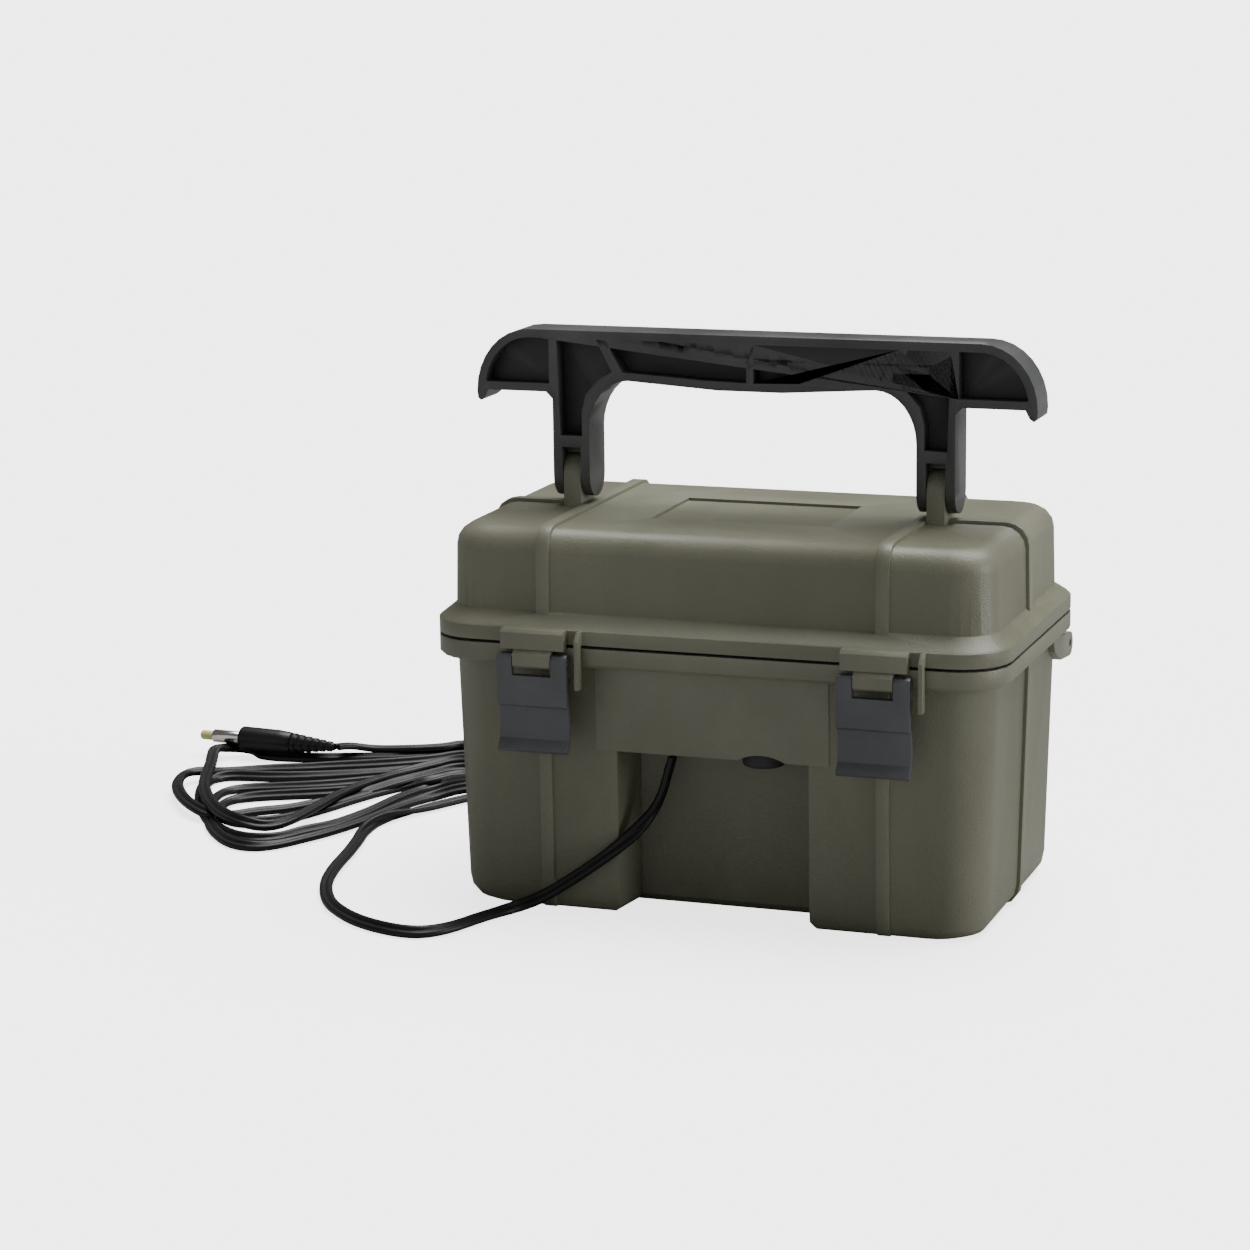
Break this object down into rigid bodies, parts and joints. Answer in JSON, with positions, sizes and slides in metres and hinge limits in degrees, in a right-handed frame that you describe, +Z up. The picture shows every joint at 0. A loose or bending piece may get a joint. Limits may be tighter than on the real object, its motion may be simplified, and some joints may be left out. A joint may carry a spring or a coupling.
{
  "type": "battery box",
  "caption": "Portable 12 V battery box: olive moulded case with hinged lid, front snap latches, folding carry handle, sealed battery inside and a power cord with a barrel plug.",
  "frame": {"origin": "middle of the case's flat bottom, on the floor", "axes": "+X along the case's width to the right, +Y from the front to the hinges at the back, +Z up"},
  "size_m": [0.3872, 0.2586, 0.2023],
  "materials": {
    "olive_plastic": "moulded olive drab plastic with a fine satin grain",
    "black_plastic": "black moulded plastic, satin",
    "grey_plastic": "dark grey moulded plastic, satin",
    "battery_plastic": "dark battery case plastic",
    "steel": "plain steel and nickel plate",
    "tinned_brass": "tinned brass terminals",
    "black_rubber": "soft black rubber",
    "foam": "closed-cell grey foam",
    "cord_pvc": "black soft PVC, semi-gloss",
    "yellow_insulator": "pale yellow insulator",
    "sleeve_red": "red insulating sleeve",
    "sleeve_black": "black insulating sleeve",
    "lead_red": "red wire insulation",
    "lead_black": "black wire insulation"
  },
  "bodies": {
    "base": {"base_shell": "olive_plastic", "lid_gasket": "black_rubber", "hinge_pin_left": "steel", "hinge_pin_right": "steel", "battery_case": "battery_plastic", "battery_cover": "battery_plastic", "terminal_negative": "tinned_brass", "terminal_positive": "tinned_brass", "connector_negative": "sleeve_black", "connector_positive": "sleeve_red", "pad_front": "foam", "pad_rear": "foam", "socket_body": "black_plastic", "socket_nut": "steel", "socket_cap": "black_rubber", "cord_gland": "black_rubber", "gland_nut": "black_plastic", "fuse_holder": "black_plastic", "fuse_ring": "black_plastic", "lead_positive": "lead_red", "lead_fused": "lead_red", "lead_negative": "lead_black", "power_cord": "cord_pvc", "cord_hank": "cord_pvc", "cord_tail": "cord_pvc", "plug_body": "cord_pvc", "plug_relief": "cord_pvc", "plug_barrel": "steel", "plug_tip": "yellow_insulator"},
    "lid": {"lid_shell": "olive_plastic", "pad_top": "foam", "latch_pin_left": "steel", "latch_pin_right": "steel", "handle_pin_left": "black_plastic", "handle_pin_right": "black_plastic"},
    "handle": {"handle": "black_plastic"},
    "latch_left": {"latch_left": "grey_plastic"},
    "latch_right": {"latch_right": "grey_plastic"}
  },
  "joints": [
    {"name": "lid_hinge", "type": "hinge", "parent": "base", "child": "lid", "pos_m": [0, 0.0595, 0.083], "axis": [-1, 0, 0], "range_deg": [0, 105]},
    {"name": "handle_fold", "type": "hinge", "parent": "lid", "child": "handle", "pos_m": [0, 0, 0.149], "axis": [1, 0, 0], "range_deg": [-88, 88]},
    {"name": "latch_left_turn", "type": "hinge", "parent": "lid", "child": "latch_left", "pos_m": [-0.062, -0.0657, 0.0938], "axis": [-1, 0, 0], "range_deg": [0, 95]},
    {"name": "latch_right_turn", "type": "hinge", "parent": "lid", "child": "latch_right", "pos_m": [0.062, -0.0657, 0.0938], "axis": [-1, 0, 0], "range_deg": [0, 95]}
  ]
}
